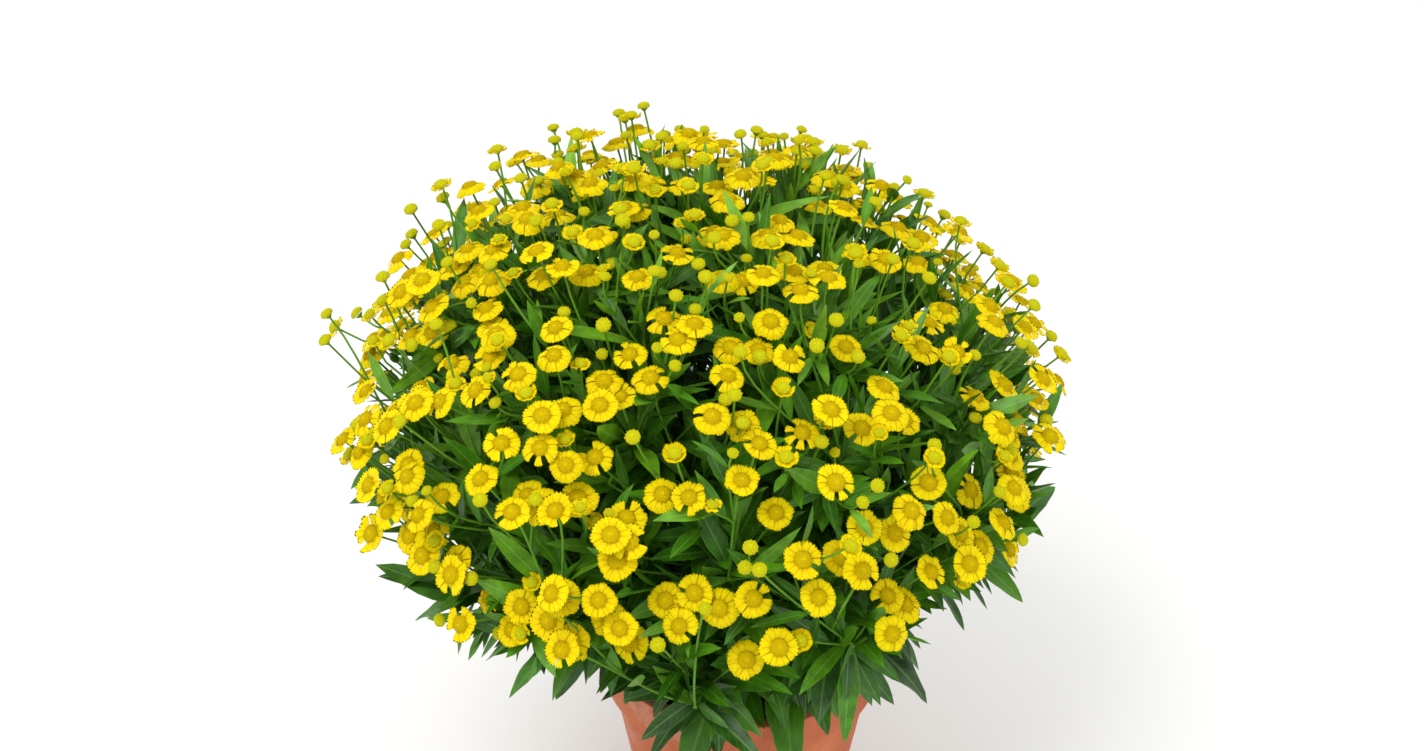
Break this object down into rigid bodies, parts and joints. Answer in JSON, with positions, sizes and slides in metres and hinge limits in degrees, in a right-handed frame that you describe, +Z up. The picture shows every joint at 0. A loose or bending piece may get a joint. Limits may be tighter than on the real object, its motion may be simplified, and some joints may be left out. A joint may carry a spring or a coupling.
{
  "type": "potted sneezeweed",
  "caption": "Dense dome of daisy-like yellow blooms and young green heads on leafy stems, growing in a plain tapered terracotta pot.",
  "frame": {"origin": "middle of the pot's foot, on the surface that the pot stands on", "axes": "+Z up, along the pot's axis; -Y towards the side that the picture shows"},
  "size_m": [0.5946, 0.5657, 0.6881],
  "materials": {
    "foliage": "living green leaf, soft satin",
    "terracotta": "unglazed fired clay, matte",
    "potting_soil": "dark crumbly potting mix, matte",
    "ray_petals": "living yellow petal, soft satin",
    "disc_florets": "dense golden florets, matte",
    "young_heads": "yellow-green buds, matte"
  },
  "bodies": {
    "root": {"leafy_stem_01": "foliage", "leafy_stem_02": "foliage", "leafy_stem_03": "foliage", "leafy_stem_04": "foliage", "leafy_stem_05": "foliage", "leafy_stem_06": "foliage", "leafy_stem_07": "foliage", "leafy_stem_08": "foliage", "leafy_stem_09": "foliage", "leafy_stem_10": "foliage", "leafy_stem_11": "foliage", "leafy_stem_12": "foliage", "leafy_stem_13": "foliage", "leafy_stem_14": "foliage", "leafy_stem_15": "foliage", "leafy_stem_16": "foliage", "leafy_stem_17": "foliage", "leafy_stem_18": "foliage", "leafy_stem_19": "foliage", "leafy_stem_20": "foliage", "leafy_stem_21": "foliage", "leafy_stem_22": "foliage", "leafy_stem_23": "foliage", "leafy_stem_24": "foliage", "leafy_stem_25": "foliage", "leafy_stem_26": "foliage", "leafy_stem_27": "foliage", "leafy_stem_28": "foliage", "soil": "potting_soil", "pot": "terracotta"}
  },
  "joints": []
}
